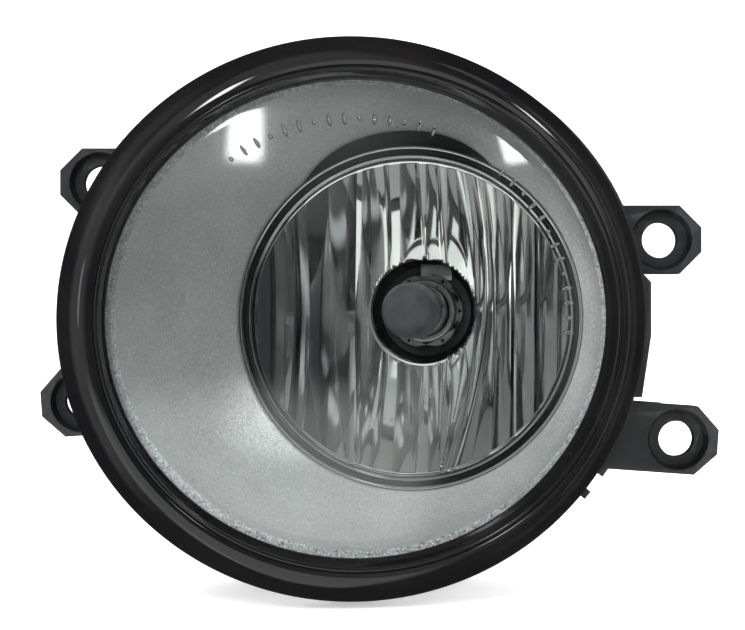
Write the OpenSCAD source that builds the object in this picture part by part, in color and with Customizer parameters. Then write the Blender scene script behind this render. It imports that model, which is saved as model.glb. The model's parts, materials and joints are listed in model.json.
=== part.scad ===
// Round fog lamp with a slightly oval front, carried in a four-eared bracket that lets it tilt.
// Seen from the front: +X right, +Z up, and the lamp shines towards -Y.
// The origin is the middle of the four ear bores, on the front plane of the ears.

/* [Front] */
// Radius of the bezel's outer edge, above and below
bezel_r = 54.6; // [54.2:0.1:55]
// Half of the straight run that makes the front wider than it is tall
oval_run = 2.6; // [2.2:0.1:3]
// Radius of the part of the lens that shows
lens_r = 45.3; // [45.1:0.1:45.5]
// How far the lens bulges ahead of its own rim
lens_bulge = 7.5; // [5:0.5:9]
// Angle by which the front faces the +X side
front_yaw = 8.5; // [7.5:0.5:9]
// Middle of the bezel's rear edge
front_centre = [-5, -30, -0.6];

/* [Reflector and bulb] */
// Focal length of the reflector
focal = 17; // [16.5:0.1:17.5]
// Radius of the reflector's opening
reflector_r = 33.6; // [33:0.1:33.8]
// Angle of the bulb's axis, which faces the -X side
bulb_yaw = -7; // [-8:0.5:-6]
// Middle of the bulb's reference plane
bulb_centre = [10, 10, 1];
// Distance of the filament ahead of the bulb's reference plane
light_centre = 25; // [24.5:0.1:25.5]
// Radius of the bulb's glass
glass_r = 5.2; // [5:0.1:5.3]

/* [Bracket] */
// Outer radius of the bracket's hoop
hoop_r = 54; // [53.6:0.1:54.4]
// Radius of the four ear bores
ear_bore_r = 3.75; // [3.25:0.05:4]
// Thickness of the ears
ear_t = 5.5; // [5:0.1:6]
// Half the height of an ear
ear_half = 7.2; // [7:0.1:7.5]
// Centres of the ear bores, as x and z
ear_upper_right = [59, 16];
ear_lower_right = [62.5, -26];
ear_upper_left = [-59, 28];
ear_lower_left = [-63, -18];

/* [Aiming] */
// Distance of the tilt axis behind the ears' front plane
pivot_y = 4; // [3.5:0.1:4.5]
// Radius of the pivot screws' smooth shank
pivot_r = 2.5; // [2.3:0.1:2.7]
// Distance of the aiming screw below the tilt axis
aim_arm = 29; // [28:0.1:30]
// Distance of the aiming screw to the right of the middle
aim_x = 29; // [28.5:0.1:29.5]
// Radius of the aiming screw's thread
aim_r = 2.5; // [2.3:0.1:2.6]

/* [Hidden] */
smooth = 180;
round_fn = 64;
hull_fn = 64;

// Front, in the bezel's own radius r and height w ahead of its rear edge
crest_r = bezel_r - 6.6;
crest_w = 11;
flange_w = 6.5;
lens_t = 2.6;
skirt_out = 50.2;
skirt_in = 48.2;
skirt_w = -2;
gutter_in = 45.9;
gutter_wall = 1.7;
gutter_out = 52.2;
gutter_w = -4;
floor_w = -6;

// Reflector and bowl, along the bulb's axis
vertex_w = light_centre - focal;
reflector_t = 2.2;
bowl_gap = 1.5;
bowl_t = 2.3;
rim_offset = [-1.5, -1.45];
rim_w = vertex_w + reflector_r * reflector_r / (4 * focal);
bowl_r = reflector_r + 5;
bowl_w = 21;
bulb_hole_r = 11.5;
lug_ring_r = 37.1;
reflector_lug_r = 2.5;
shelf_w = 19.5;
lug_w = 22;
lug_angles = [140, 200, 275];

// Bulb socket and base
collar_r = 17;
collar_rear = -8;
seal_bore_r = 12.5;
lip_r = 9.8;
lip_rear = -5;
lip_front = -2.3;
lug_room_r = 11.8;
neck_r = 9.5;
lug_r = 11.2;
lug_span = 40;
base_rear = -24;
plug_half = 10;
plug_drop = 32;
cap_tip = 43;

// Bracket
hoop_wall = 3;
hoop_in = hoop_r - hoop_wall;
hoop_front = -4;
hoop_back = 12;
ear_reach = 8.4;
recess_r = 6.4;
recess_depth = 2.5;
boss_face = 50;
boss_r = 6;
pivot_seat = 53.9;
pad_face = 56.4;

// Aiming gear
tab_front = 14;
tab_t = 3;
nut_r = 4;
nut_half = 5;
socket_r = 5.2;
socket_half = 6;
journal_r = 3;
aim_z = -aim_arm;
aim_angle = atan2(aim_z, aim_x);
aim_reach = norm([aim_x, aim_z]);

// ---- places and helper shapes ----

// Local x and y lie across the front, and local z points out of it.
module front_frame()
    translate(front_centre) rotate([0, 0, front_yaw]) rotate([90, 0, 0]) children();

// Local z runs forward along the bulb's axis from its reference plane.
module bulb_frame()
    translate(bulb_centre) rotate([0, 0, bulb_yaw]) rotate([90, 0, 0]) children();

// The reflector's opening sits a little to one side of the bulb's axis.
module rim_frame()
    bulb_frame() translate([rim_offset.x, rim_offset.y, 0]) children();

// Turns a profile of radius and height round the oval.
module oval() {
    for (side = [-1, 1])
        translate([side * oval_run, 0, 0])
            rotate([0, 0, -90 * side]) rotate_extrude(angle = 180, $fn = smooth) children();
    rotate([90, 0, 90]) linear_extrude(2 * oval_run, center = true) {
        children();
        mirror([1, 0]) children();
    }
}

// A flat oval slab from one height to another.
module oval_slab(r, from_w, to_w)
    translate([0, 0, from_w]) linear_extrude(to_w - from_w)
        for (side = [-1, 1]) translate([side * oval_run, 0]) circle(r, $fn = hull_fn);

// Puts an outline drawn in x and z onto a plate from y to y + t.
module plate(y, t)
    translate([0, y + t, 0]) rotate([90, 0, 0]) linear_extrude(t) children();

// A cylinder along +Y.
module rod_y(x, z, from_y, to_y, r)
    translate([x, from_y, z]) rotate([-90, 0, 0]) cylinder(r = r, h = to_y - from_y, $fn = round_fn);

// A cylinder along +X on the tilt axis.
module rod_x(from_x, to_x, r)
    translate([from_x, pivot_y, 0]) rotate([0, 90, 0]) cylinder(r = r, h = to_x - from_x, $fn = round_fn);

// A cylinder along the local axis.
module rod(from_w, to_w, r)
    translate([0, 0, from_w]) cylinder(r = r, h = to_w - from_w, $fn = round_fn);

// Height of the reflecting surface at radius r.
function reflector_w(r) = vertex_w + r * r / (4 * focal);

// Height of the lens's outer surface at radius r.
function lens_w(r) = flange_w + lens_bulge * (1 - pow(r / lens_r, 2));

// ---- bracket ----

module ear_outline() {
    root = 22;
    cut = 4.6;
    polygon([
        [-root, -ear_half], [ear_reach - cut, -ear_half], [ear_reach, cut - ear_half],
        [ear_reach, ear_half - cut], [ear_reach - cut, ear_half], [-root, ear_half]
    ]);
}

// One ear with its stiffening ribs behind it, and the angle that it points in.
module ear(bore, angle) {
    rib = 2;
    rib_long = 17;
    rib_depth = 5;
    translate([bore.x, 0, bore.y]) rotate([0, -angle, 0]) {
        plate(0, ear_t) ear_outline();
        for (side = [-1, 1])
            translate([-rib_long - 3, ear_t - 0.5, side * (ear_half - rib / 2) - rib / 2])
                cube([rib_long, rib_depth, rib]);
    }
}

// The pad that thickens the hoop round a pivot screw.
module pivot_pad()
    plate(-3, 12)
        polygon([
            [49, 8.5], [55, 8.5], [pad_face, 7], [pad_face, -4], [54.5, -17], [49, -17]
        ]);

// The arm that holds the aiming screw's grommet behind the lamp.
module aim_tab() {
    spread = 26;
    rotate([90, 0, 0]) rotate([0, 0, aim_angle - spread / 2])
        translate([0, 0, -tab_front - tab_t])
            rotate_extrude(angle = spread, $fn = smooth)
                translate([hoop_in + 0.3, 0]) square([hoop_wall - 0.6, tab_front + tab_t - hoop_back + 2]);
    plate(tab_front, tab_t) {
        translate([aim_x, aim_z]) circle(8, $fn = round_fn);
        rotate(aim_angle) translate([aim_reach, -7]) square([hoop_in - aim_reach + 1.2, 14]);
    }
}

module hoop_and_ears() difference() {
    union() {
        rod_y(0, 0, hoop_front, hoop_back, hoop_r);
        rod_y(0, 0, hoop_front, hoop_front + 1.6, hoop_r + 1.4);
        ear(ear_upper_right, 0);
        ear(ear_lower_right, -4);
        ear(ear_upper_left, 180);
        ear(ear_lower_left, 184);
        pivot_pad();
        mirror([1, 0, 0]) pivot_pad();
        for (a = [-41, -35, 139, 145])
            rotate([0, -a, 0]) translate([hoop_r - 1, hoop_front, -1]) cube([4, 6, 2]);
    }
    rod_y(0, 0, hoop_front - 1, hoop_back + 1, hoop_in);
    for (bore = [ear_upper_right, ear_lower_right, ear_upper_left, ear_lower_left]) {
        rod_y(bore.x, bore.y, -1, ear_t + 1, ear_bore_r);
        translate([bore.x, recess_depth, bore.y]) rotate([90, 0, 0])
            cylinder(r1 = recess_r - 0.7, r2 = recess_r + 0.3, h = recess_depth + 1, $fn = round_fn);
    }
    for (side = [0, 1]) mirror([side, 0, 0]) {
        rod_x(hoop_in - 4, pad_face + 3, pivot_r + 0.1);
        rod_x(pivot_seat, pad_face + 3, 4.8);
    }
}

module mounting_bracket() color("#1b1c1e") {
    hoop_and_ears();
    difference() {
        aim_tab();
        rod_y(aim_x, aim_z, tab_front - 1, tab_front + tab_t + 1, 5);
    }
}

module pivot_screws() color("#b9bcc0")
    for (side = [0, 1]) mirror([side, 0, 0]) difference() {
        union() {
            rod_x(boss_face - 8, pivot_seat, pivot_r);
            rod_x(pivot_seat, pad_face - 0.3, 4.3);
        }
        translate([pad_face, pivot_y, 0]) {
            cube([3, 4.4, 0.9], center = true);
            cube([3, 0.9, 4.4], center = true);
        }
    }

// ---- aiming gear ----

module aim_grommet() color("#e6e3d8") difference() {
    union() {
        rod_y(aim_x, aim_z, tab_front - 1, tab_front, 6.6);
        rod_y(aim_x, aim_z, tab_front - 0.5, tab_front + tab_t + 0.5, 4.95);
        rod_y(aim_x, aim_z, tab_front + tab_t, tab_front + tab_t + 1, 6.6);
    }
    rod_y(aim_x, aim_z, tab_front - 2, tab_front + tab_t + 2, journal_r + 0.06);
}

module aim_screw() color("#c9c6b4") {
    head_y = tab_front + tab_t + 1.2;
    groove_y = tab_front - 2;
    rod_y(aim_x, aim_z, -6, groove_y, aim_r);
    rod_y(aim_x, aim_z, groove_y, groove_y + 1, aim_r - 0.3);
    rod_y(aim_x, aim_z, groove_y + 1, head_y, journal_r);
    rod_y(aim_x, aim_z, head_y, head_y + 1.4, 5.2);
    difference() {
        translate([aim_x, head_y + 1.4, aim_z]) rotate([-90, 0, 0]) cylinder(r = 4.6, h = 4.6, $fn = 6);
        translate([aim_x, head_y + 6, aim_z]) {
            cube([5, 4, 1.1], center = true);
            cube([1.1, 4, 5], center = true);
        }
    }
}

module aim_screw_clip() color("#8f9296") difference() {
    rod_y(aim_x, aim_z, tab_front - 1.9, tab_front - 1.1, 5);
    rod_y(aim_x, aim_z, tab_front - 3, tab_front, aim_r - 0.25);
    translate([aim_x - 1.7, tab_front - 3, aim_z]) cube([3.4, 3, 8]);
}

module aim_nut() color("#f0eee6") difference() {
    translate([aim_x - nut_half, pivot_y, aim_z]) rotate([0, 90, 0])
        cylinder(r = nut_r, h = 2 * nut_half, $fn = round_fn);
    rod_y(aim_x, aim_z, pivot_y - 6, pivot_y + 6, aim_r + 0.2);
}

// ---- lamp body ----

module gutter()
    front_frame() oval() polygon([
        [gutter_in, floor_w], [gutter_out, floor_w], [gutter_out, 1.5], [gutter_out - 0.7, 2.5],
        [gutter_out - 1.3, 2.5], [gutter_out - 1.3, gutter_w], [gutter_in + gutter_wall, gutter_w],
        [gutter_in + gutter_wall, 2.8], [gutter_in, 2.8]
    ]);

// The funnel between the oval front and the round bowl, with t as its wall.
module funnel(t, front_w) hull() {
    front_frame() oval_slab(gutter_in - 0.8 + t, floor_w - 0.8, front_w);
    rim_frame() translate([0, 0, bowl_w]) cylinder(r = bowl_r + 0.7 + t, h = 0.6, $fn = hull_fn);
}

// The bowl behind the reflector, grown outwards by t.
module bowl(t) {
    steps = 12;
    rim_frame() rotate_extrude($fn = smooth) polygon(concat(
        [[0, bowl_w + 1]],
        [[bowl_r + t, bowl_w + 1]],
        [for (i = [steps:-1:0])
            let (r = (bowl_r + t) * i / steps)
            [r, min(reflector_w(r) - reflector_t - bowl_gap, shelf_w) - t]]
    ));
}

module trunnions() {
    rod_x(-boss_face, boss_face, boss_r);
    translate([-47, -9, -1.8]) cube([94, 14, 3.6]);
}

// Eye for the aiming nut, with the two cheeks that tie it to the funnel.
module nut_eye() {
    cheek = 2.2;
    translate([aim_x - socket_half, pivot_y, aim_z]) rotate([0, 90, 0])
        cylinder(r = socket_r, h = 2 * socket_half, $fn = round_fn);
    for (x = [aim_x - socket_half, aim_x + socket_half - cheek])
        translate([x, -15, aim_z]) cube([cheek, 19, 8]);
    translate([aim_x - socket_half, -15, aim_z + 5.8]) cube([2 * socket_half, 19, cheek]);
}

module stiffening_ribs() {
    for (a = [50, 85, 115, 235, 265, 290])
        rim_frame() rotate([0, 0, a]) translate([10, -1, 3]) cube([27, 2, 16]);
}

module bowl_and_funnel() difference() {
    union() {
        gutter();
        funnel(3, floor_w + 0.6);
        bowl(bowl_t);
        bulb_frame() rod(collar_rear, 10, collar_r);
        trunnions();
        nut_eye();
        stiffening_ribs();
        bulb_frame() translate([-20, 17, 0]) rod(-2, 14, 3.4);
    }
    funnel(0, 0);
    bowl(0);
}

// Repeats a shape at the three lugs of the reflector.
module at_lugs() rim_frame()
    for (a = lug_angles) rotate([0, 0, a]) translate([lug_ring_r, 0, 0]) children();

module housing() color("#202124") difference() {
    union() {
        bowl_and_funnel();
        at_lugs() rod(shelf_w - 1, lug_w, reflector_lug_r);
    }
    at_lugs() rod(shelf_w - 1.7, lug_w + 1, 1.15);
    // bulb socket: seal bore, lips with three gaps, and room for the lugs
    bulb_frame() {
        rod(collar_rear - 1, lip_rear, seal_bore_r);
        rod(lip_rear - 1, lip_front + 1, lip_r);
        rod(lip_front, 12, lug_room_r);
        for (a = [0, 120, 240]) rotate([0, 0, a + 90]) translate([lip_r - 1, -2.7, lip_rear - 0.5])
            cube([lug_room_r - lip_r + 0.9, 5.4, lip_front - lip_rear + 1]);
        translate([-20, 17, 0]) rod(-3, 16, 1.6);
    }
    for (side = [0, 1]) mirror([side, 0, 0]) rod_x(boss_face - 9, boss_face + 1, pivot_r + 0.06);
    // nut pocket, and the way of the screw through its eye
    translate([aim_x - nut_half - 0.1, pivot_y, aim_z]) rotate([0, 90, 0])
        cylinder(r = nut_r + 0.06, h = 2 * nut_half + 3, $fn = round_fn);
    rod_y(aim_x, aim_z, pivot_y - 10, pivot_y + 10, aim_r + 0.8);
}

module bezel_profile() {
    turn = 15;
    polygon(concat(
        [[bezel_r, -3]],
        [for (a = [0:turn:90]) [crest_r + (bezel_r - crest_r) * cos(a), crest_w * sin(a)]],
        [[crest_r - 0.6, crest_w - 0.4], [crest_r - 1, crest_w - 1.6], [crest_r - 1.5, crest_w - 3]],
        [[lens_r + 0.1, flange_w + 0.8], [lens_r + 0.1, flange_w + 0.2], [50.6, flange_w + 0.2]],
        [[gutter_out, 5], [gutter_out + 0.7, 3], [gutter_out + 0.9, -3]]
    ));
}

module front_bezel() color("#050506") front_frame() {
    oval() bezel_profile();
    // snap tabs behind the rim
    for (a = [30:60:330])
        translate([(cos(a) > 0 ? 1 : -1) * oval_run, 0, 0]) rotate([0, 0, a])
            translate([gutter_out + 0.6, -5, -7]) cube([1.5, 10, 5]);
}

module lens() color([0.85, 0.9, 0.92, 0.5]) front_frame() {
    steps = 9;
    inner_r = lens_r - 0.8;
    oval() polygon(concat(
        [for (i = [0:steps]) let (r = lens_r * i / steps) [r, lens_w(r)]],
        [[skirt_out, flange_w], [skirt_out, skirt_w], [skirt_in, skirt_w], [skirt_in, flange_w - lens_t]],
        [for (i = [steps:-1:0]) let (r = inner_r * i / steps) [r, lens_w(r) - lens_t - 0.15]]
    ));
}

module lens_sealant() color("#2b2b2b") front_frame() {
    inner = gutter_in + gutter_wall;
    outer = gutter_out - 1.3;
    top = 0.8;
    oval() polygon([
        [inner, gutter_w], [outer, gutter_w], [outer, top], [skirt_out, top],
        [skirt_out, skirt_w], [skirt_in, skirt_w], [skirt_in, top], [inner, top]
    ]);
}

// A plain funnel of sheet, from a flange under the lens to the reflector's opening.
module inner_trim() color("#9a9c9e") difference() {
    union() {
        front_frame() oval_slab(47.4, 2.85, 3.8);
        hull() {
            front_frame() oval_slab(lens_r - 0.3, 2.6, 3.4);
            rim_frame() translate([0, 1, rim_w + 1]) cylinder(r = reflector_r + 1.8, h = 0.8, $fn = hull_fn);
        }
    }
    hull() {
        front_frame() oval_slab(lens_r - 1.6, 3.2, 6);
        rim_frame() translate([0, 1, rim_w]) cylinder(r = reflector_r + 0.6, h = 1.5, $fn = hull_fn);
    }
}

module reflector() color("#d5d7da") {
    steps = 8;
    difference() {
        rim_frame() {
            rotate_extrude($fn = smooth) polygon(concat(
                [for (i = [0:steps]) let (r = reflector_r * i / steps) [r, reflector_w(r)]],
                [[reflector_r, rim_w + 0.5], [reflector_r + 0.8, rim_w + 0.5], [reflector_r + 0.8, rim_w - 2.4]],
                [for (i = [steps:-1:0])
                    let (r = reflector_r * i / steps) [r, reflector_w(r) - reflector_t]]
            ));
            // lug plates
            for (a = lug_angles) rotate([0, 0, a]) {
                translate([lug_ring_r, 0, 0]) rod(lug_w + 0.05, lug_w + 1.6, reflector_lug_r);
                translate([reflector_r - 0.4, -reflector_lug_r, lug_w + 0.25])
                    cube([3.6, 2 * reflector_lug_r, 1.2]);
            }
        }
        at_lugs() rod(lug_w - 1, lug_w + 3, 1.4);
        bulb_frame() rod(0, 14, bulb_hole_r);
    }
}

module reflector_screws() color("#b9bcc0") at_lugs() {
    rod(shelf_w - 1.2, lug_w + 1.7, 1.1);
    rod(lug_w + 1.65, lug_w + 2.8, 2.2);
}

module vent_cap() color("#161616") bulb_frame() translate([-20, 17, 0]) difference() {
    union() {
        rod(-5, 5, 5);
        rod(-5, -3.6, 5.8);
    }
    rod(-3.5, 6, 3.45);
}

// ---- bulb ----

module bulb_base() color("#26282b") bulb_frame() {
    hollow_r = 6;
    groove_r = 10.2;
    rotate_extrude($fn = smooth) polygon([
        [hollow_r, 3.4], [neck_r, 3.4], [neck_r, lip_rear - 0.3], [groove_r, lip_rear - 0.3],
        [groove_r, collar_rear - 0.3], [14.5, collar_rear - 0.3], [14.5, -10.6], [11.6, -10.6],
        [11.6, -17], [0, -17], [0, -8], [hollow_r, -8]
    ]);
    // bayonet lugs
    for (a = [0, 120, 240]) rotate([0, 0, a + 90 + lug_span])
        translate([neck_r - 1, -2.2, -2]) cube([lug_r - neck_r + 1, 4.4, 1.8]);
    // plug shroud, hanging behind the lamp
    difference() {
        translate([-plug_half, -plug_drop, base_rear]) cube([2 * plug_half, plug_drop + 4, 12]);
        translate([1.6 - plug_half, -plug_drop - 1, base_rear + 1.6])
            cube([2 * plug_half - 3.2, 15, 12 - 3.2]);
    }
    translate([-4, -plug_drop + 3, base_rear + 11]) cube([8, 9, 2.8]);
}

module bulb_seal() color("#a34a28") bulb_frame()
    translate([0, 0, (collar_rear + lip_rear) / 2 - 0.1])
        rotate_extrude($fn = smooth) translate([11.22, 0]) circle(1, $fn = 32);

module bulb_terminals() color("#c8b26a") bulb_frame()
    for (x = [-3.6, 3.6])
        translate([x - 1.4, -plug_drop + 5, base_rear + 5.6]) cube([2.8, 9, 0.8]);

// Collar with six small holes, and a tab that shows which way up the bulb goes.
module bulb_collar() color("#b8babd") bulb_frame() difference() {
    union() {
        rod(3.45, 5, 7.8);
        rod(3.45, 9, 6.6);
        translate([-1.1, 6, 3.45]) cube([6.6, 3.7, 0.9]);
    }
    rod(3, 10, glass_r + 0.1);
    for (a = [0:60:300]) rotate([0, 0, a]) translate([7.15, 0, 0]) rod(3, 6, 0.35);
}

module bulb_envelope() color([0.9, 0.92, 0.95, 0.4]) bulb_frame() rotate_extrude($fn = smooth)
    polygon([
        [0, 3.6], [glass_r, 3.6], [glass_r, 39.4], [glass_r - 1.2, 41.6], [0, 42.5],
        [0, 41.2], [glass_r - 1.8, 40.6], [glass_r - 0.9, 38.8], [glass_r - 0.9, 14], [0, 11]
    ]);

module bulb_black_cap() color("#3a3b3d") bulb_frame() rotate_extrude($fn = smooth)
    polygon([
        [glass_r, 31], [glass_r + 0.3, 31], [glass_r + 0.3, 39.8], [glass_r - 1, 42.2], [0, cap_tip],
        [0, 42.5], [glass_r - 1.2, 41.6], [glass_r, 39.4]
    ]);

module filament() color("#8a8a88") bulb_frame() rod(light_centre - 2.3, light_centre + 2.3, 0.7);

module filament_supports() color("#9b9ea2") bulb_frame() {
    for (side = [-1, 1]) {
        end_w = light_centre + side * 2.3;
        arm = side > 0 ? 0 : 0.6;
        translate([side * 2.2, 0, 0]) rod(12.8, end_w + side * 0.6 + arm, 0.35);
        translate([side > 0 ? 0 : -2.2, -0.35, end_w + (side > 0 ? 0 : -0.7)]) cube([2.2, 0.7, 0.7]);
    }
}

mounting_bracket();
pivot_screws();
aim_grommet();
aim_screw();
aim_screw_clip();
aim_nut();
housing();
front_bezel();
lens();
lens_sealant();
inner_trim();
reflector();
reflector_screws();
vent_cap();
bulb_base();
bulb_seal();
bulb_terminals();
bulb_collar();
bulb_envelope();
bulb_black_cap();
filament();
filament_supports();
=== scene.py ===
import json
import math

import bmesh
import bpy
from mathutils import Matrix, Vector


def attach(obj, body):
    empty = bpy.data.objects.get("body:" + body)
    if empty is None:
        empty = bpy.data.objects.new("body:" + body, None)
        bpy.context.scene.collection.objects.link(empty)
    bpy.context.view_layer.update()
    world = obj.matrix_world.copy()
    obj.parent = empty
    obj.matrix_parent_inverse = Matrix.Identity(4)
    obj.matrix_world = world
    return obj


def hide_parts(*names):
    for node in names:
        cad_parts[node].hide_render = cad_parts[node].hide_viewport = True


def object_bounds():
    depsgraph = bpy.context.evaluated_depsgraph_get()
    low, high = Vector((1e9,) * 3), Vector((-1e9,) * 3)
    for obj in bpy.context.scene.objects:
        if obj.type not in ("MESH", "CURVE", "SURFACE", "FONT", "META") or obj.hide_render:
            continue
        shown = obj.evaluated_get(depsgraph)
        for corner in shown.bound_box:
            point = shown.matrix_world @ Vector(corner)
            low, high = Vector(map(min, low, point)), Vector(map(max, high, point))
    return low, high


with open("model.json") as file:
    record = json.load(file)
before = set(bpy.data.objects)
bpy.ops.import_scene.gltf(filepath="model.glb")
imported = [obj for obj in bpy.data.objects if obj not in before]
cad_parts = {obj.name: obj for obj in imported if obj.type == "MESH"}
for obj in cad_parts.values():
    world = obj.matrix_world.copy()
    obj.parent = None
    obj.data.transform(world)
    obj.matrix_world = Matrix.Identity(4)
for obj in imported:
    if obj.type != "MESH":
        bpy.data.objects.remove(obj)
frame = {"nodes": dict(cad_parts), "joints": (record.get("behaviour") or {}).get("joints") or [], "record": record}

cad_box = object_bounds()

# ---- sizes, in millimetres unless a name says otherwise; the main ones are the CAD's own ----

MM = 0.001
MERGE = 2e-6
ROUND = 288

FRONT_CENTRE = Vector((-5, -30, -0.6)) * MM
FRONT_YAW = math.radians(8.5)
BEZEL_R = 54.6
OVAL_RUN = 2.6
CREST_R = BEZEL_R - 6.6
CREST_W = 11
LENS_R = 45.3
LENS_BULGE = 7.5
LENS_T = 2.6
FLANGE_W = 6.5
GUTTER_OUT = 52.2
SKIRT_OUT = 50.2
SKIRT_IN = 48.2
SKIRT_W = -2

FOCAL = 17
REFLECTOR_R = 33.6
LIGHT_CENTRE = 25
VERTEX_W = LIGHT_CENTRE - FOCAL
RIM_W = VERTEX_W + REFLECTOR_R ** 2 / (4 * FOCAL)
RIM_OFFSET = (-1.5, -1.45)
HOLE_R = 11.5
LUG_RING_R = 37.1
LUG_W = 22
LUG_ANGLES = (140, 200, 275)
GLASS_R = 5.2

RECORD = frame["record"]
BODY_OF = {n: b for b, members in RECORD["behaviour"]["bodies"].items() for n in members}


# ---- places ----

def local_frame(origin, forward):
    """A frame in millimetres: z along forward, y up, x across."""
    w = Vector(forward).normalized()
    v = Vector((0, 0, 1))
    u = v.cross(w)
    rows = [[u[i] * MM, v[i] * MM, w[i] * MM, origin[i]] for i in range(3)]
    return Matrix([*rows, [0, 0, 0, 1]])


def joint(name):
    return next(j for j in frame["joints"] if j["name"] == name)


FRONT = local_frame(FRONT_CENTRE, (math.sin(FRONT_YAW), -math.cos(FRONT_YAW), 0))
TWIST = joint("bulb_twist")
BULB = local_frame(TWIST["pos_m"], [-x for x in TWIST["axis"]])
RIM = BULB @ Matrix.Translation((*RIM_OFFSET, 0))


def reflector_w(r):
    """Height of the reflecting paraboloid at radius r."""
    return VERTEX_W + r * r / (4 * FOCAL)


def lens_w(r):
    """Height of the lens's outer surface at radius r."""
    return FLANGE_W + LENS_BULGE * (1 - (r / LENS_R) ** 2)


# ---- mesh building ----

def fillet(points, steps=5):
    """A closed outline of (x, y) or (x, y, radius) with each radius worked in as a short curve."""
    out = []
    count = len(points)
    for i, p in enumerate(points):
        here = Vector(p[:2])
        radius = p[2] if len(p) > 2 else 0
        if not radius:
            out.append(tuple(here))
            continue
        before = Vector(points[i - 1][:2]) - here
        after = Vector(points[(i + 1) % count][:2]) - here
        start = here + before.normalized() * min(radius, before.length * 0.48)
        end = here + after.normalized() * min(radius, after.length * 0.48)
        for k in range(steps + 1):
            t = k / steps
            out.append(tuple(start * (1 - t) ** 2 + here * (2 * t * (1 - t)) + end * t * t))
    return out


def oval_point(r, angle, run):
    """A point on the oval of radius r, which is wider by run across."""
    return ((r + run * min(1, r / LENS_R)) * math.cos(angle), r * math.sin(angle))


def add_sweep(bm, profile, place, run=0.0, closed=True, segments=ROUND, material=0):
    """Adds a profile of (radius, height) turned round an oval."""
    rings = []
    for i in range(segments):
        angle = math.tau * i / segments
        rings.append([bm.verts.new(place @ Vector((*oval_point(r, angle, run), w))) for r, w in profile])
    last = len(profile) if closed else len(profile) - 1
    for i, ring in enumerate(rings):
        after = rings[(i + 1) % segments]
        for k in range(last):
            m = (k + 1) % len(profile)
            bm.faces.new((ring[k], after[k], after[m], ring[m])).material_index = material


def add_grid(bm, rows, material=0, wrap=False):
    """Adds a sheet through rows of points, each row as long as the others."""
    verts = [[bm.verts.new(p) for p in row] for row in rows]
    for a, b in zip(verts, verts[1:]):
        for k in range(len(a) if wrap else len(a) - 1):
            m = (k + 1) % len(a)
            bm.faces.new((a[k], a[m], b[m], b[k])).material_index = material


def add_block(bm, place, size, centre, bevel=0.25):
    """Adds a box with rounded edges."""
    scale = Matrix.Diagonal((*size, 1))
    made = bmesh.ops.create_cube(bm, size=1, matrix=place @ Matrix.Translation(centre) @ scale)
    edges = {e for v in made["verts"] for e in v.link_edges}
    bmesh.ops.bevel(bm, geom=list(edges), offset=bevel * MM, segments=2, affect="EDGES", profile=0.5)


def add_tube(bm, points, radius, sides=10):
    """Adds a round wire through points, closed at both ends."""
    rings = []
    side = None
    for i, p in enumerate(points):
        ahead = (points[min(i + 1, len(points) - 1)] - points[max(i - 1, 0)]).normalized()
        if side is None:
            side = ahead.orthogonal().normalized()
        side = (side - ahead * side.dot(ahead)).normalized()
        up = ahead.cross(side)
        ring = []
        for k in range(sides):
            a = math.tau * k / sides
            ring.append(bm.verts.new(p + (side * math.cos(a) + up * math.sin(a)) * radius))
        rings.append(ring)
    for a, b in zip(rings, rings[1:]):
        for k in range(sides):
            m = (k + 1) % sides
            bm.faces.new((a[k], a[m], b[m], b[k]))
    bm.faces.new(rings[0][::-1])
    bm.faces.new(rings[-1])


def make_object(name, bm, materials, sharp=32):
    """Turns bm into an object with smooth shading and crisp edges over the sharp angle."""
    bmesh.ops.remove_doubles(bm, verts=bm.verts, dist=MERGE)
    bmesh.ops.dissolve_degenerate(bm, edges=bm.edges, dist=MERGE / 2)
    bmesh.ops.recalc_face_normals(bm, faces=bm.faces)
    mesh = bpy.data.meshes.new(name)
    bm.to_mesh(mesh)
    bm.free()
    for m in materials:
        mesh.materials.append(m)
    mesh.shade_smooth()
    mesh.set_sharp_from_angle(angle=math.radians(sharp))
    obj = bpy.data.objects.new(name, mesh)
    bpy.context.scene.collection.objects.link(obj)
    return obj


def stand_for(obj, node):
    """obj stands in for a CAD node: the node is hidden and obj joins its body."""
    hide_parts(node)
    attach(obj, BODY_OF[node])
    return obj


def dressed(node, material, width, segments=2):
    """A copy of a CAD node with its sharp edges really rounded."""
    bm = bmesh.new()
    bm.from_mesh(frame["nodes"][node].data)
    bmesh.ops.remove_doubles(bm, verts=bm.verts, dist=MERGE)
    bmesh.ops.dissolve_limit(bm, angle_limit=math.radians(0.6), verts=bm.verts, edges=bm.edges)
    obj = make_object(node + "_shape", bm, [material])
    bevel = obj.modifiers.new("rounded edges", "BEVEL")
    bevel.limit_method = "ANGLE"
    bevel.angle_limit = math.radians(40)
    bevel.width = width * MM
    bevel.segments = segments
    bevel.use_clamp_overlap = True
    bevel.harden_normals = True
    return stand_for(obj, node)


# ---- node graphs ----

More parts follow.
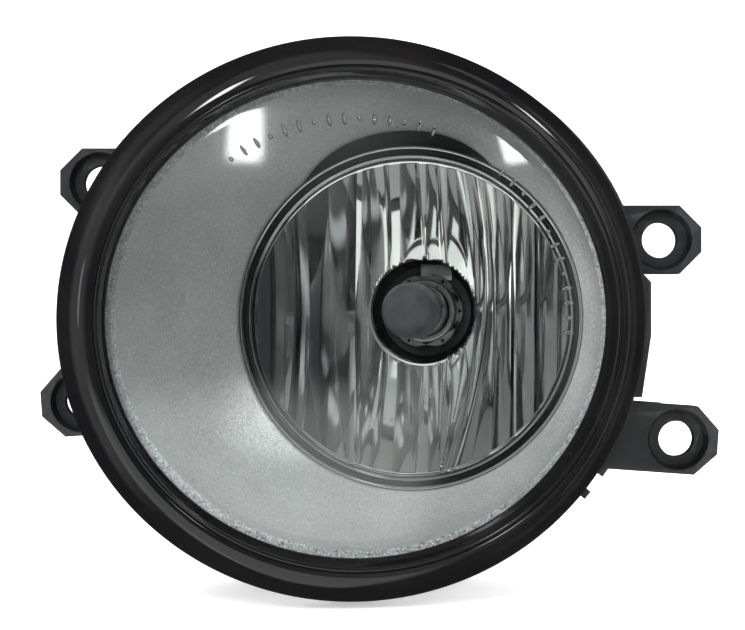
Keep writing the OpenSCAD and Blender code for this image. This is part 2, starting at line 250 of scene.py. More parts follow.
class Graph:
    """A short way to write a shader's nodes."""

    def __init__(self, tree):
        self.tree = tree

    def add(self, kind, inputs=None, out=0, **settings):
        """Adds a node, sets it up, fills or links its inputs, and returns one of its outputs."""
        made = self.tree.nodes.new(kind)
        for key, value in settings.items():
            setattr(made, key, value)
        for key, value in (inputs or {}).items():
            socket = made.inputs[key]
            if isinstance(value, bpy.types.NodeSocket):
                self.tree.links.new(value, socket)
            elif hasattr(socket.default_value, "__len__") and hasattr(value, "__len__"):
                size = len(socket.default_value)
                socket.default_value = [*value, 1.0][:size] if len(value) < size else value
            else:
                socket.default_value = value
        return made.outputs[out]

    def math(self, operation, a, b=0.0, c=0.0):
        return self.add("ShaderNodeMath", {0: a, 1: b, 2: c}, operation=operation)

    def place(self, stretch=(1, 1, 1)):
        """Place on the object in millimetres, stretched along its axes."""
        spot = self.add("ShaderNodeTexCoord", out="Object")
        return self.add("ShaderNodeMapping", {"Vector": spot, "Scale": [1000 * s for s in stretch]})

    def noise(self, size, detail=3.0, rough=0.55, stretch=(1, 1, 1)):
        """Noise from 0 to 1 whose blobs are about size millimetres across."""
        inputs = {"Vector": self.place(stretch), "Scale": 1 / size, "Detail": detail, "Roughness": rough}
        return self.add("ShaderNodeTexNoise", inputs, out="Fac")

    def cells(self, size, out="Distance", feature="F1"):
        inputs = {"Vector": self.place(), "Scale": 1 / size}
        return self.add("ShaderNodeTexVoronoi", inputs, out=out, feature=feature)

    def span(self, value, low, high, from_low=0.3, from_high=0.7, kind="SMOOTHSTEP"):
        """Maps a value onto a range, which a smooth step ends softly."""
        inputs = {"Value": value, "From Min": from_low, "From Max": from_high, "To Min": low, "To Max": high}
        return self.add("ShaderNodeMapRange", inputs, interpolation_type=kind)

    def blend(self, fac, a, b, mode="MIX"):
        first, second = ([*c, 1.0] if isinstance(c, tuple) else c for c in (a, b))
        inputs = {0: fac, 6: first, 7: second}
        return self.add("ShaderNodeMix", inputs, out=2, data_type="RGBA", blend_type=mode)

    def bump(self, height, depth, strength=1.0, under=None):
        """Bumps of a depth in millimetres."""
        inputs = {"Height": height, "Distance": depth * MM, "Strength": strength}
        if under is not None:
            inputs["Normal"] = under
        return self.add("ShaderNodeBump", inputs, out="Normal")

    def flakes(self, size, tilt, under=None):
        """A normal that leans a random way in each small cell, as in metal flakes."""
        colour = self.cells(size, out="Color")
        lean = self.add("ShaderNodeVectorMath", {0: colour, 1: (0.5, 0.5, 0.5)}, operation="SUBTRACT")
        lean = self.add("ShaderNodeVectorMath", {0: lean, "Scale": tilt}, operation="SCALE")
        base = under or self.add("ShaderNodeNewGeometry", out="Normal")
        total = self.add("ShaderNodeVectorMath", {0: base, 1: lean}, operation="ADD")
        return self.add("ShaderNodeVectorMath", {0: total}, operation="NORMALIZE")


def new_material(name):
    """An empty material and its graph, with its Principled shader."""
    material = bpy.data.materials.new(name)
    material.use_nodes = True
    graph = Graph(material.node_tree)
    return material, graph, material.node_tree.nodes["Principled BSDF"]


def fill(graph, shader, **inputs):
    """Fills or links the Principled shader's sockets; _ in a name stands for a space."""
    for key, value in inputs.items():
        socket = shader.inputs[key.replace("_", " ")]
        if isinstance(value, bpy.types.NodeSocket):
            graph.tree.links.new(value, socket)
        elif isinstance(value, tuple):
            socket.default_value = (*value, 1.0)
        else:
            socket.default_value = value


# ---- materials ----

def moulded_plastic(name, dark, light, roughness, grain, depth, wear=0.5):
    """Grained moulded plastic with a slight change of tone and paler worn edges."""
    material, g, shader = new_material(name)
    tone = g.blend(g.span(g.noise(14, 2), 0, 1), dark, light)
    speck = g.span(g.cells(grain), 1, 0, 0.05, 0.75)
    tone = g.blend(g.math("MULTIPLY", speck, 0.35), tone, light)
    edge = g.add("ShaderNodeNewGeometry", out="Pointiness")
    edge = g.math("MULTIPLY", g.span(edge, 0, 1, 0.52, 0.6), g.span(g.noise(1.2, 4), 0.2, wear))
    tone = g.blend(edge, tone, tuple(min(1, 2.2 * c + 0.02) for c in light))
    fine = g.math("ADD", g.noise(grain, 4, 0.6), speck)
    normal = g.bump(g.noise(5, 2), 0.05, 0.4)
    fill(g, shader, Base_Color=tone, Roughness=g.span(g.noise(3, 4), roughness - 0.07, roughness + 0.09),
         Normal=g.bump(fine, depth, 0.8, normal))
    return material


def gloss_black():
    """Piano black lacquer with the faintest unevenness and a few specks of dust."""
    material, g, shader = new_material("piano_black")
    dust = g.span(g.cells(5.5), 1, 0, 0.008, 0.03)
    tone = g.blend(g.span(g.noise(30, 2), 0, 1), (0.0035, 0.0035, 0.004), (0.007, 0.0065, 0.0065))
    tone = g.blend(g.math("MULTIPLY", dust, 0.2), tone, (0.25, 0.25, 0.27))
    rough = g.span(g.noise(9, 5, 0.65), 0.03, 0.10)
    fill(g, shader, Base_Color=tone, Roughness=rough, Specular_IOR_Level=0.5,
         Normal=g.bump(g.noise(7, 2), 0.02, 0.5))
    return material


def clear_glass(name, tint, coat, ripple):
    """Clear glass that lets light through to what is behind it."""
    material, g, shader = new_material(name)
    haze = g.bump(g.noise(0.35, 3), 0.02, 0.7)
    fill(g, shader, Base_Color=g.blend(g.span(g.noise(25, 1), 0, 1), tint, (1.0, 1.0, 1.0)),
         Roughness=g.span(g.noise(4, 3), 0.0, 0.012), IOR=1.5, Transmission_Weight=1.0,
         Coat_Weight=coat, Coat_Roughness=0.16, Coat_Normal=haze,
         Normal=g.bump(g.noise(11, 1), ripple, 0.6))
    clear = g.add("ShaderNodeBsdfTransparent", {"Color": (0.93, 0.95, 0.95)}, out="BSDF")
    shadow = g.add("ShaderNodeLightPath", out="Is Shadow Ray")
    mixed = g.add("ShaderNodeMixShader", {0: shadow, 1: shader.outputs[0], 2: clear})
    g.tree.links.new(mixed, g.tree.nodes["Material Output"].inputs["Surface"])
    return material


def satin_trim():
    """Satin metallised plastic with a fine sparkle: flake normals, and pale specks painted into its colour as
    glints.
    """
    material, g, shader = new_material("satin_metallised")
    tone = g.blend(g.span(g.noise(18, 3), 0, 1), (0.47, 0.47, 0.465), (0.55, 0.55, 0.545))
    # Painted glints: the near-white specks mixed into the colour stand for the sparkle's glints, not for a colour
    # the metal has.
    speck = g.span(g.cells(0.42), 1, 0, 0.1, 0.5)
    tone = g.blend(g.math("MULTIPLY", speck, 0.5), tone, (0.92, 0.93, 0.94))
    fill(g, shader, Base_Color=tone, Metallic=0.2, Roughness=g.span(g.noise(2.4, 5), 0.36, 0.47),
         Normal=g.flakes(0.3, 0.42, g.bump(g.noise(0.8, 4), 0.05, 0.7)))
    return material


def sparkle_band():
    """The coarse stippled rim of the trim, with painted glitter: the stipple's bumps are real, its near-white
    cells are painted glints, and its whole tone is painted paler against the bezel's shade.
    """
    material, g, shader = new_material("stippled_rim_painted_glint")
    # Painted glints and painted light: the near-white cells stand for glitter, and the tone is kept pale to
    # outshine the shade that the bezel casts on the band.
    tone = g.blend(g.span(g.cells(0.5), 0, 1, 0.1, 0.6), (0.97, 0.98, 0.99), (0.62, 0.63, 0.64))
    fill(g, shader, Base_Color=tone, Metallic=0.1, Roughness=g.span(g.noise(0.7, 3), 0.18, 0.4),
         Normal=g.flakes(0.4, 0.8, g.bump(g.cells(0.45), 0.12, 0.9)))
    return material


def mirror():
    """Vacuum metallised mirror, a little uneven as the moulding under it is."""
    material, g, shader = new_material("mirror_metallised")
    tone = g.blend(g.span(g.noise(12, 3), 0, 1), (0.80, 0.82, 0.81), (0.88, 0.89, 0.88))
    uneven = g.bump(g.noise(9, 1, 0.5, (1, 1, 0.35)), 0.02, 0.5)
    fill(g, shader, Base_Color=tone, Metallic=1.0, Roughness=g.span(g.noise(3, 4), 0.02, 0.075),
         Normal=g.bump(g.noise(0.9, 3, 0.5, (0.4, 1, 2)), 0.0012, 0.5, uneven))
    return material


def plated_metal(name, colour, roughness, streak=(1, 1, 1), tint=None):
    """Plated or drawn metal with fine scratches and a slight stain."""
    material, g, shader = new_material(name)
    stain = g.span(g.noise(2.5, 4), 0, 1)
    tone = g.blend(stain, colour, tint or tuple(0.8 * c for c in colour))
    scratch = g.noise(0.25, 5, 0.6, streak)
    fill(g, shader, Base_Color=tone, Metallic=1.0,
         Roughness=g.span(g.noise(0.8, 4), roughness - 0.08, roughness + 0.1),
         Normal=g.bump(scratch, 0.03, 0.6))
    return material


def soft_plastic(name, colour, roughness, inside):
    """Natural nylon or rubber, with light entering a little way."""
    material, g, shader = new_material(name)
    tone = g.blend(g.span(g.noise(2.5, 3), 0, 1), colour, tuple(0.86 * c for c in colour))
    fill(g, shader, Base_Color=tone, Roughness=g.span(g.noise(0.9, 4), roughness - 0.08, roughness + 0.08),
         Subsurface_Weight=inside, Subsurface_Scale=0.001,
         Normal=g.bump(g.noise(0.5, 4), 0.04, 0.6))
    return material


def cap_coating():
    """The baked grey coating on the bulb's tip."""
    material, g, shader = new_material("cap_coating")
    tone = g.blend(g.span(g.noise(3, 3), 0, 1), (0.055, 0.055, 0.062), (0.085, 0.085, 0.095))
    fill(g, shader, Base_Color=tone, Roughness=g.span(g.noise(1.4, 4), 0.42, 0.58),
         Normal=g.bump(g.noise(0.3, 4), 0.02, 0.6))
    return material


BRACKET_PLASTIC = moulded_plastic("grained_black",
    (0.006, 0.0062, 0.007), (0.013, 0.0135, 0.015), 0.5, 0.42, 0.05)
HOUSING_PLASTIC = moulded_plastic("satin_black",
    (0.016, 0.0165, 0.018), (0.026, 0.027, 0.029), 0.42, 0.6, 0.03)
BULB_PLASTIC = moulded_plastic("bulb_plastic",
    (0.022, 0.023, 0.025), (0.042, 0.043, 0.046), 0.46, 0.35, 0.03)
VENT_RUBBER = moulded_plastic("vent_rubber",
    (0.018, 0.018, 0.018), (0.035, 0.035, 0.034), 0.68, 0.3, 0.03, 0.2)
SEALANT = moulded_plastic("sealant",
    (0.03, 0.03, 0.03), (0.06, 0.06, 0.058), 0.5, 1.2, 0.1, 0.2)
PIANO_BLACK = gloss_black()
LENS_GLASS = clear_glass("lens_glass", (0.965, 0.985, 0.98), 0.3, 0.02)
BULB_GLASS = clear_glass("bulb_glass", (0.97, 0.98, 1.0), 0.0, 0.01)
SATIN_TRIM = satin_trim()
SPARKLE_BAND = sparkle_band()
MIRROR = mirror()
ZINC = plated_metal("zinc_plate", (0.66, 0.66, 0.63), 0.34, (1, 1, 1), (0.60, 0.57, 0.48))
CLIP_STEEL = plated_metal("spring_steel", (0.42, 0.43, 0.45), 0.3)
COLLAR_STEEL = plated_metal("collar_steel", (0.60, 0.60, 0.58), 0.34)
BRASS = plated_metal("tinned_brass", (0.78, 0.66, 0.38), 0.3, (0.3, 1, 1), (0.74, 0.72, 0.66))
TUNGSTEN = plated_metal("tungsten", (0.36, 0.36, 0.37), 0.4)
SUPPORT_WIRE = plated_metal("support_wire", (0.52, 0.52, 0.54), 0.3)
NYLON = soft_plastic("natural_nylon", (0.80, 0.77, 0.68), 0.42, 0.25)
SEAL_RUBBER = soft_plastic("silicone_rubber", (0.05, 0.05, 0.052), 0.5, 0.05)
CAP_COATING = cap_coating()


# ---- front of the lamp ----

def front_bezel():
    """Black ring: a convex flank, a thin bead on the crest, and a slope down to the lens."""
    flank = []
    for a in range(0, 88, 4):
        turn = math.radians(a)
        flank.append((CREST_R + (BEZEL_R - CREST_R) * math.cos(turn), CREST_W * math.sin(turn)))
    bead = []
    for a in range(-20, 201, 20):
        turn = math.radians(a)
        bead.append((CREST_R - 0.75 + 0.42 * math.cos(turn), CREST_W - 0.42 + 0.42 * math.sin(turn)))
    profile = fillet([
        (BEZEL_R, -3, 0.5), *flank, (CREST_R, CREST_W - 0.3, 0.1), *bead,
        (CREST_R - 1.35, CREST_W - 1.1, 0.2), (CREST_R - 1.9, CREST_W - 2.6, 0.3),
        (LENS_R + 0.25, FLANGE_W + 1.0, 0.3), (LENS_R + 0.1, FLANGE_W + 0.25, 0.1),
        (50.6, FLANGE_W + 0.25, 0.3), (GUTTER_OUT + 0.45, 5, 0.4), (GUTTER_OUT + 0.9, 3, 0.4),
        (GUTTER_OUT + 0.95, -3, 0.3),
    ])
    bm = bmesh.new()
    add_sweep(bm, profile, FRONT, OVAL_RUN)
    for a in range(30, 360, 60):
        turn = math.radians(a)
        spot = Vector((*oval_point(GUTTER_OUT + 1.5, turn, OVAL_RUN), -4.6))
        tab = FRONT @ Matrix.Translation(spot) @ Matrix.Rotation(turn, 4, "Z")
        add_block(bm, tab, (1.2, 10, 5), (0, 0, 0))
    return stand_for(make_object("bezel_ring", bm, [PIANO_BLACK]), "front_bezel")


def lens_marks(bm):
    """Short raised dashes and pips along two arcs of the lens. They spell nothing."""
    arcs = ((128, 70, 15), (52, -4, 14))
    ring_r = 38
    for first, last, count in arcs:
        for i in range(count):
            angle = math.radians(first + (last - first) * i / (count - 1))
            long = 1.25 if i % 3 else 0.55
            spot = Vector((*oval_point(ring_r, angle, OVAL_RUN), lens_w(ring_r) - 0.02))
            turn = FRONT @ Matrix.Translation(spot) @ Matrix.Rotation(angle, 4, "Z")
            lean = Matrix.Rotation(math.atan(2 * LENS_BULGE * ring_r / LENS_R ** 2), 4, "Y")
            size = Matrix.Diagonal((long, 0.42, 0.26, 1))
            bmesh.ops.create_uvsphere(bm, u_segments=20, v_segments=12, radius=1, matrix=turn @ lean @ size)


def lens():
    """Domed glass with a skirt that stands in the gutter."""
    steps = 26
    inner = LENS_R - 0.8
    outside = [(LENS_R * i / steps, lens_w(LENS_R * i / steps)) for i in range(steps + 1)]
    inside = [(inner * i / steps, lens_w(inner * i / steps) - LENS_T - 0.15) for i in range(steps, -1, -1)]
    edge = [
        (SKIRT_OUT, FLANGE_W, 0.4), (SKIRT_OUT, SKIRT_W, 0.3), (SKIRT_IN, SKIRT_W, 0.3),
        (SKIRT_IN, FLANGE_W - LENS_T, 0.4),
    ]
    bm = bmesh.new()
    add_sweep(bm, fillet([*outside, *edge, *inside]), FRONT, OVAL_RUN)
    lens_marks(bm)
    return stand_for(make_object("lens_dome", bm, [LENS_GLASS]), "lens")


def trim_opening(angle):
    """Radius of the trim's opening round the reflector, with its crescent gap at the top."""
    middle, half, deep = math.radians(95), math.radians(33), 3.0
    away = abs((angle - middle + math.pi) % math.tau - math.pi) / half
    return REFLECTOR_R + 1.0 + (deep * (1 - away ** 2.6) if away < 1 else 0)


def inner_trim():
    """Satin dish from the lens's rim down to the reflector, with its stippled rim."""
    rings = 30
    rim_r, rim_shift = 44.3, Vector((0.8, 0.3, 0))
    outer_w = 3.5
    rows = []
    for k in range(rings + 1):
        s = k / rings
        row = []
        for i in range(ROUND):
            angle = math.tau * i / ROUND
            outer = FRONT @ (Vector((*oval_point(rim_r, angle, OVAL_RUN), outer_w)) + rim_shift)
            r = trim_opening(angle)
            inner = RIM @ Vector((r * math.cos(angle), r * math.sin(angle), RIM_W + 0.2))
            away = FRONT.to_3x3() @ Vector((math.cos(angle), math.sin(angle), -0.4))
            belly = 1.5 * math.sin(math.pi * s)
            row.append(outer.lerp(inner, s) + away * belly)
        rows.append(row)
    bm = bmesh.new()
    add_grid(bm, rows, 0, wrap=True)
    band = []
    turns = [math.tau * i / ROUND for i in range(ROUND)]
    for r, drop in ((47.3, 0.5), (47.3, 0.1), (46.9, 0), (46.2, 0), (45.4, 0)):
        band.append([FRONT @ Vector((*oval_point(r, a, OVAL_RUN), outer_w - drop)) for a in turns])
    band.append(rows[0])
    add_grid(bm, band, 1, wrap=True)
    obj = make_object("trim_dish", bm, [SATIN_TRIM, SPARKLE_BAND], 40)
    shell = obj.modifiers.new("sheet", "SOLIDIFY")
    shell.thickness = 0.9 * MM
    shell.offset = -1
    return stand_for(obj, "inner_trim")


# Seams between the reflector's flutes, from left to right: where each is at the top, middle and bottom,
# and how far the flute to its right bulges.
SEAMS = (
    (-34, -34, -34, 0.12), (-25, -25, -25.5, 0.05), (-21.5, -22, -22, 0.08), (-11.5, -13, -12, 0.05),
    (-8.8, -10, -10.8, -0.05), (-6.4, -7, -9, 0.05), (-4.6, -5.4, -6.6, 0.02), (1.2, 1.3, 0.6, -0.06),
    (2.3, 2.2, 2, 0.02), (5, 5, 5.4, -0.12), (6.9, 6.9, 6.6, 0.03), (9.8, 10.6, 7.6, -0.06),
    (10.8, 12.6, 9.4, 0.2), (14.2, 15.2, 10.8, 0.12), (16, 17.2, 16.4, 0.32), (21.3, 21.3, 21.3, 0.3),
    (26.3, 26.3, 26.3, 0.12), (30.2, 30.2, 30, 0.08), (34, 34, 34, 0),
)
FLUTED_R = 32.2
SEAM_V = 25


def seam_at(seam, v):
    """Where a seam is at height v: a parabola through its top, middle and bottom."""
    top, middle, bottom = seam[:3]
    t = v / SEAM_V
    u = middle + (top - bottom) / 2 * t + ((top + bottom) / 2 - middle) * t * t
    return max(-FLUTED_R, min(FLUTED_R, u))


def flute_column(left, right, share, rows):
    """Points of one upright line in a flute, share of the way from its left seam to its right one."""
    def across(v):
        a, b = seam_at(left, v), seam_at(right, v)
        return a, b, a + (b - a) * share

    ends = []
    for sign in (-1, 1):
        v = 0.0
        for _ in range(12):
            v = sign * math.sqrt(max(0.0, FLUTED_R ** 2 - across(v)[2] ** 2))
        ends.append(v)
    points = []
    for k in range(rows + 1):
        t = 2 * k / rows - 1
        v = abs(t) * ends[0] if t < 0 else t * ends[1]
        a, b, u = across(v)
        w_a, w_b = reflector_w(math.hypot(a, v)), reflector_w(math.hypot(b, v))
        crown = left[3] * 4 * share * (1 - share)
        points.append(Vector((u, v, w_a + (w_b - w_a) * share + crown)))
    return points


def fluted_bowl(bm):
    """The mirror's flutes, open round the bulb."""
    rows, columns = 96, 14
    hole = Vector((-RIM_OFFSET[0], -RIM_OFFSET[1]))
    hole_r = HOLE_R - 0.2
    for left, right in zip(SEAMS, SEAMS[1:]):
        lines = [flute_column(left, right, k / columns, rows) for k in range(columns + 1)]
        verts = [[bm.verts.new(RIM @ p) for p in line] for line in lines]
        flat = [[p.to_2d() - hole for p in line] for line in lines]
        for i in range(columns):
            for k in range(rows):
                corners = ((i, k), (i + 1, k), (i + 1, k + 1), (i, k + 1))
                if all(flat[a][b].length < hole_r for a, b in corners):
                    continue
                bm.faces.new([verts[a][b] for a, b in corners])
        for i, line in enumerate(lines):
            for k, p in enumerate(line):
                if flat[i][k].length < hole_r:
                    edge = hole + flat[i][k].normalized() * hole_r
                    verts[i][k].co = RIM @ Vector((*edge, p.z + 0.05))
    bmesh.ops.delete(bm, geom=[v for v in bm.verts if not v.link_faces], context="VERTS")


def round_bead(centre_r, top, half):
    """The upper half of a thin round bead, as (radius, height)."""
    turns = [math.radians(a) for a in range(180, -1, -20)]
    return [(centre_r + half * math.cos(t), top - half + half * math.sin(t)) for t in turns]


def reflector():
    """Fluted mirror with a double bead round its rim, a turned-in bulb hole and three lugs."""
    bm = bmesh.new()
    fluted_bowl(bm)
    inner, outer = round_bead(32.5, RIM_W + 0.05, 0.24), round_bead(34.15, RIM_W + 0.6, 0.3)
    floor_w = RIM_W - 1.0
    add_sweep(bm, [(FLUTED_R, reflector_w(FLUTED_R) - 0.05), *inner], RIM, closed=False)
    # The channel between the two beads is a sheet of the black housing plastic: partly the black housing seen
    # through the gap to the trim, partly painted shade of that gap.
    add_sweep(bm, [inner[-1], (32.85, floor_w), (33.75, floor_w), outer[0]], RIM, closed=False, material=1)
    add_sweep(bm, [*outer, (34.5, RIM_W - 0.5)], RIM, closed=False)
    lip = [
        (HOLE_R - 0.7, 8.9), (HOLE_R - 0.78, 9.9), (HOLE_R - 0.68, 10.3), (HOLE_R - 0.45, 10.5),
        (HOLE_R - 0.1, 10.45), (HOLE_R + 0.2, 10.25), (HOLE_R + 0.35, 9.7),
    ]
    add_sweep(bm, lip, BULB, closed=False, segments=128)
    for a in LUG_ANGLES:
        arm = RIM @ Matrix.Rotation(math.radians(a), 4, "Z")
        add_block(bm, arm, (3.4, 5, 1.2), (REFLECTOR_R + 1.4, 0, LUG_W + 0.85), 0.2)
        ring = [(1.45, LUG_W + 0.1), (2.4, LUG_W + 0.1), (2.5, LUG_W + 1.5), (1.45, LUG_W + 1.6)]
        add_sweep(bm, ring, arm @ Matrix.Translation((LUG_RING_R, 0, 0)), segments=40)
    obj = make_object("reflector_bowl", bm, [MIRROR, HOUSING_PLASTIC], 4)
    shell = obj.modifiers.new("sheet", "SOLIDIFY")
    shell.thickness = 0.8 * MM
    shell.offset = -1
    return stand_for(obj, "reflector")


# ---- bulb ----

def bulb_glass():
    """Quartz envelope with its pinch at the foot and a rounded tip."""
    profile = fillet([
        (0, 3.6), (GLASS_R, 3.6, 0.5), (GLASS_R, 39.4, 1.2), (GLASS_R - 1.2, 41.6, 1.0),
        (1.2, 42.4, 0.8), (0, 42.45),
        (0, 41.2), (1.2, 41.15, 0.6), (GLASS_R - 1.8, 40.6, 0.8), (GLASS_R - 0.9, 38.8, 0.8),
        (GLASS_R - 0.9, 14, 1.0), (1.0, 11, 0.6), (0, 10.9),
    ])
    bm = bmesh.new()
    add_sweep(bm, profile, BULB, segments=96)
    return stand_for(make_object("bulb_glass_tube", bm, [BULB_GLASS]), "bulb_envelope")


def bulb_cap():
    """Coating on the tip, thin over the glass, with a shallow dimple in the middle."""
    profile = fillet([
        (GLASS_R + 0.02, 31), (GLASS_R + 0.28, 31.2, 0.1), (GLASS_R + 0.3, 38.8, 1.5),
        (GLASS_R - 0.5, 41.7, 1.6),
        (GLASS_R - 2.2, 42.8, 1.0), (2.0, 42.9, 0.6), (1.2, 42.62, 0.5), (0, 42.58),
        (0, 42.5), (1.2, 42.45, 0.4), (GLASS_R - 1.2, 41.62, 0.6), (GLASS_R + 0.02, 39.4, 0.8),
    ])
    bm = bmesh.new()
    add_sweep(bm, profile, BULB, segments=96)
    return stand_for(make_object("bulb_tip_coating", bm, [CAP_COATING]), "bulb_black_cap")


def bulb_collar():
    """Stamped collar round the glass: a stepped ring with small holes, and a tab."""
    bm = bmesh.new()
    sides = 96
    hole_r, ring_r, holes = 0.36, 7.15, 6
    inner, outer = 6.75, 7.8
    profile = [
        (6.6, 5.02), (6.6, 8.6, 0.3), (6.3, 9.0, 0.2), (GLASS_R + 0.25, 9.0, 0.2), (GLASS_R + 0.12, 8.7, 0.1),
        (GLASS_R + 0.12, 3.5), (6.6, 3.5),
    ]
    add_sweep(bm, fillet(profile), BULB, segments=sides)
    for w, turned in ((5.0, False), (3.5, True)):
        for k in range(holes):
            middle, width = math.tau * k / holes, math.tau / holes
            add_holed_sector(bm, w, middle, width, inner - 0.2, outer, ring_r, hole_r, turned)
    edge = [(outer, 3.5), (outer + 0.08, 3.7), (outer + 0.08, 4.8), (outer, 5.0)]
    add_sweep(bm, edge, BULB, closed=False, segments=sides)
    for k in range(holes):
        angle = math.tau * k / holes
        at = BULB @ Matrix.Translation((ring_r * math.cos(angle), ring_r * math.sin(angle), 0))
        add_sweep(bm, [(hole_r, 3.5), (hole_r, 5.0)], at, closed=False, segments=16)
    add_block(bm, BULB, (6.6, 3.4, 0.8), (2.2, 8.2, 3.95), 0.15)
    return stand_for(make_object("collar_ring", bm, [COLLAR_STEEL]), "bulb_collar")


def add_holed_sector(bm, w, middle, width, inner, outer, ring_r, hole_r, turned):
    """One sector of a flat ring with a round hole in its middle, at height w of the bulb."""
    sides = 16
    centre = Vector((ring_r, 0))
    spin = Matrix.Rotation(middle, 4, "Z")
    ring, border = [], []
    for k in range(sides):
        a = math.tau * k / sides
        direction = Vector((math.cos(a), math.sin(a)))
        ring.append(centre + direction * hole_r)
        reach = max(abs(direction.x) / ((outer - inner) / 2), abs(direction.y) / (ring_r * width / 2))
        flat = Vector(((inner + outer) / 2, 0)) + direction / reach
        polar = Vector((math.cos(flat.y / ring_r), math.sin(flat.y / ring_r))) * flat.x
        border.append(polar)
    low = [bm.verts.new(BULB @ spin @ Vector((*p, w))) for p in ring]
    high = [bm.verts.new(BULB @ spin @ Vector((*p, w))) for p in border]
    for k in range(sides):
        m = (k + 1) % sides
        quad = (low[k], high[k], high[m], low[m])
        bm.faces.new(quad[::-1] if turned else quad)


def filament():
    """The coiled wire, without its straight ends."""
    turns, steps, coil_r, wire_r = 13, 14, 0.55, 0.11
    half = 2.0
    points = []
    for k in range(turns * steps + 1):
        t = k / (turns * steps)
        a = math.tau * turns * t
        w = LIGHT_CENTRE - half + 2 * half * t
        points.append(BULB @ Vector((coil_r * math.cos(a), coil_r * math.sin(a), w)))
    bm = bmesh.new()
    add_tube(bm, points, wire_r * MM, 8)
    return stand_for(make_object("filament_coil", bm, [TUNGSTEN]), "filament")


def bend(corners, radius=0.6, steps=5):
    """A path through corners with each inner corner rounded, in the bulb's frame."""
    path = [Vector(corners[0])]
    for a, b, c in zip(corners, corners[1:], corners[2:]):
        a, b, c = Vector(a), Vector(b), Vector(c)
        start = b + (a - b).normalized() * min(radius, (a - b).length / 2)
        end = b + (c - b).normalized() * min(radius, (c - b).length / 2)
        for k in range(steps + 1):
            t = k / steps
            path.append(start * (1 - t) ** 2 + b * (2 * t * (1 - t)) + end * t * t)
    path.append(Vector(corners[-1]))
    return [BULB @ p for p in path]


def filament_supports():
    """The two bent wires that hold the coil's ends."""
    bm = bmesh.new()
    low, high = LIGHT_CENTRE - 2.5, LIGHT_CENTRE + 2.5
    add_tube(bm, bend([(-2.2, 0, 12.8), (-2.2, 0, low), (0.3, 0, low)]), 0.3 * MM)
    add_tube(bm, bend([(2.2, 0, 12.8), (2.2, 0, high), (-0.3, 0, high)]), 0.3 * MM)
    return stand_for(make_object("filament_wires", bm, [SUPPORT_WIRE]), "filament_supports")


# ---- stage, light and camera ----

def stage():
    """A wide pale floor that curves up into a wall far from the object."""
    floor_z = cad_box[0].z
    flat, tall = 1.1, 1.6
    profile = [(0.0, 0.0), (0.4, 0.0), (flat, 0.0)]
    for a in range(10, 91, 10):
        turn = math.radians(a)
        profile.append((flat + 0.8 * math.sin(turn), 0.8 * (1 - math.cos(turn))))
    profile.append((flat + 0.8, tall))
    bm = bmesh.new()
    place = Matrix.Translation((0, 0, floor_z - 0.5 * MM))
    turns = [math.tau * i / 96 for i in range(96)]
    rows = [[place @ Vector((r * math.cos(a), r * math.sin(a), h)) for a in turns] for r, h in profile]
    add_grid(bm, rows, wrap=True)
    material, g, shader = new_material("pale_floor")
    tone = g.blend(g.noise(400, 1), (0.90, 0.90, 0.90), (0.93, 0.93, 0.93))
    fill(g, shader, Base_Color=tone, Roughness=0.9,
         Specular_IOR_Level=0.1, Emission_Color=(1.0, 1.0, 1.0), Emission_Strength=0.45)
    floor = make_object("floor", bm, [material])
    floor.visible_glossy = False
    floor.visible_transmission = False
    floor.visible_shadow = False


def soft_light(name, at, size, power, colour=(1, 1, 1)):
    """A square soft light that faces the object."""
    data = bpy.data.lights.new(name, "AREA")
    data.size = size
    data.energy = power
    data.color = colour
    obj = bpy.data.objects.new(name, data)
    obj.location = at
    obj.rotation_euler = (-Vector(at)).to_track_quat("-Z", "Y").to_euler()
    obj.visible_glossy = False
    obj.visible_transmission = False
    bpy.context.scene.collection.objects.link(obj)


def gleam(name, at, target, radius, power):
    """A narrow soft beam, for the light that the flutes throw on the trim."""
    data = bpy.data.lights.new(name, "SPOT")
    way = Vector(target) - Vector(at)
    data.spot_size = 2 * math.atan(radius / way.length)
    data.spot_blend = 1.0
    data.shadow_soft_size = 0.004
    data.energy = power
    obj = bpy.data.objects.new(name, data)
    obj.location = at
    obj.rotation_euler = way.to_track_quat("-Z", "Y").to_euler()
    obj.visible_glossy = False
    obj.visible_transmission = False
    bpy.context.scene.collection.objects.link(obj)


# What the bright metal and the gloss reflect: patches of the studio, each with its bearing and height as
# angles (bearing 0 in front of the lamp, + to its right as seen), half sizes, soft edge, colour and strength.
PATCHES = (
    (-10, -48, 40, 34, 5, (0.96, 1.0, 0.97), 1.15),
    (-10, 52, 36, 26, 12, (0.97, 1.0, 1.0), 0.42),
    (68, 56, 9, 6, 3, (1.0, 0.99, 0.94), 0.9),
    (57, 10, 4, 40, 3, (0.97, 1.0, 1.0), 0.5),
    (85, 0, 12, 50, 8, (1.0, 0.98, 0.96), 0.16),
    (-62, -4, 30, 38, 12, (0.98, 1.0, 0.96), 0.55),
    (-58, 6, 4, 7, 2, (0.85, 0.95, 1.0), 2.6),
    (-60, -45, 9, 12, 4, (0.55, 0.36, 0.28), 0.2),
    (-38, -58, 5, 10, 4, (1.0, 0.62, 0.42), 1.2),
    (-92, 42, 24, 18, 14, (0.97, 0.99, 1.0), 0.2),
    (-90, -42, 14, 7, 5, (1.0, 0.66, 0.48), 0.16),
    (76, 38, 3, 7, 2, (1.0, 0.97, 0.95), 1.3),
)
# The lamps that show as bright spots on the lens. What is under the lens hardly shows them.
LAMPS = (
    (-4, 34, 3.0, 5, 1.5, (0.97, 1.0, 1.0), 26.0),
    (47, 30, 2.2, 3.2, 1.0, (0.97, 1.0, 1.0), 26.0),
)


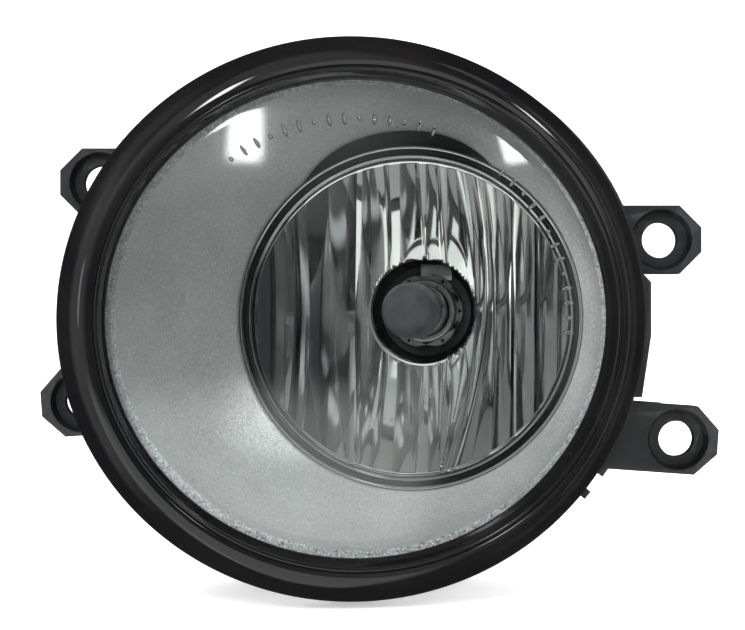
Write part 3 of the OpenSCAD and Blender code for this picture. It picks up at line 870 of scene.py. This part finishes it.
def add_patch(g, total, bearing, height, patch):
    """Adds one soft-edged patch of light to what the surroundings show."""
    b, h, half_b, half_h, soft, colour, strength = patch
    masks = []
    for value, middle, half in ((bearing, b, half_b), (height, h, half_h)):
        away = g.math("ABSOLUTE", g.math("SUBTRACT", value, float(middle)))
        masks.append(g.span(away, 1, 0, max(0.0, half - soft), half + soft))
    mask = g.math("MULTIPLY", g.math("MULTIPLY", *masks), strength)
    lit = g.add("ShaderNodeVectorMath", {0: colour, "Scale": mask}, operation="SCALE")
    return g.add("ShaderNodeVectorMath", {0: total, 1: lit}, operation="ADD")


def surroundings():
    """A pale room to the eye, and a dark studio with soft boxes to whatever reflects it."""
    world = bpy.data.worlds.new("studio")
    world.use_nodes = True
    bpy.context.scene.world = world
    g = Graph(world.node_tree)
    direction = g.add("ShaderNodeTexCoord", out="Generated")
    parts = g.tree.nodes.new("ShaderNodeSeparateXYZ")
    g.tree.links.new(direction, parts.inputs[0])
    x, y, z = parts.outputs
    bearing = g.math("MULTIPLY", g.math("ARCTAN2", x, g.math("MULTIPLY", y, -1.0)), 180 / math.pi)
    height = g.math("MULTIPLY", g.math("ARCSINE", z), 180 / math.pi)
    total = (0.018, 0.018, 0.019)
    for patch in PATCHES:
        total = add_patch(g, total, bearing, height, patch)
    under_lens = g.add("ShaderNodeLightPath", out="Transmission Depth")
    shown = g.span(under_lens, 1, 0.03, 0, 1, "LINEAR")
    for patch in LAMPS:
        total = add_patch(g, total, bearing, height, (*patch[:6], g.math("MULTIPLY", shown, patch[6])))
    studio = g.add("ShaderNodeBackground", {"Color": total, "Strength": 1.0})
    pale = g.add("ShaderNodeBackground", {"Color": (1.0, 1.0, 1.0), "Strength": 1.0})
    seen = g.add("ShaderNodeLightPath", out="Is Camera Ray")
    mixed = g.add("ShaderNodeMixShader", {0: seen, 1: studio, 2: pale})
    output = g.tree.nodes.get("World Output") or g.tree.nodes.new("ShaderNodeOutputWorld")
    g.tree.links.new(mixed, output.inputs["Surface"])


def camera():
    """The camera stands straight in front of the lamp."""
    data = bpy.data.cameras.new("camera")
    data.lens = 88.3
    data.sensor_width = 36
    data.clip_start = 0.01
    data.clip_end = 20
    obj = bpy.data.objects.new("camera", data)
    obj.location = Vector((-1.74, -384, 0.16)) * MM
    obj.rotation_euler = (math.pi / 2, 0, 0)
    bpy.context.scene.collection.objects.link(obj)
    bpy.context.scene.camera = obj


# ---- the object ----

front_bezel()
lens()
inner_trim()
reflector()
bulb_glass()
bulb_cap()
bulb_collar()
filament()
filament_supports()

for node, material, width in (
    ("mounting_bracket", BRACKET_PLASTIC, 0.35), ("housing", HOUSING_PLASTIC, 0.35),
    ("bulb_base", BULB_PLASTIC, 0.3), ("pivot_screws", ZINC, 0.2), ("aim_screw", ZINC, 0.2),
    ("aim_screw_clip", CLIP_STEEL, 0.1), ("aim_nut", NYLON, 0.25), ("aim_grommet", NYLON, 0.25),
    ("lens_sealant", SEALANT, 0.2), ("reflector_screws", ZINC, 0.2), ("vent_cap", VENT_RUBBER, 0.4),
    ("bulb_terminals", BRASS, 0.12),
):
    dressed(node, material, width)

seal = frame["nodes"]["bulb_seal"]
seal.data.materials.clear()
seal.data.materials.append(SEAL_RUBBER)

stage()
surroundings()
camera()
soft_light("key", (-0.35, -0.75, 0.62), 0.5, 9)
soft_light("fill", (0.75, -0.55, 0.25), 0.7, 3)
soft_light("top", (0.0, 0.1, 1.0), 0.8, 4)
soft_light("back", (0.45, 0.85, 0.45), 0.7, 6)
gleam("gleam_left", (-0.14, -0.4, -0.02), (-0.0225, -0.027, -0.018), 0.012, 22)
gleam("gleam_right", (0.16, -0.4, -0.06), (0.0345, -0.020, -0.014), 0.007, 18)
bpy.context.scene.view_settings.view_transform = "Standard"
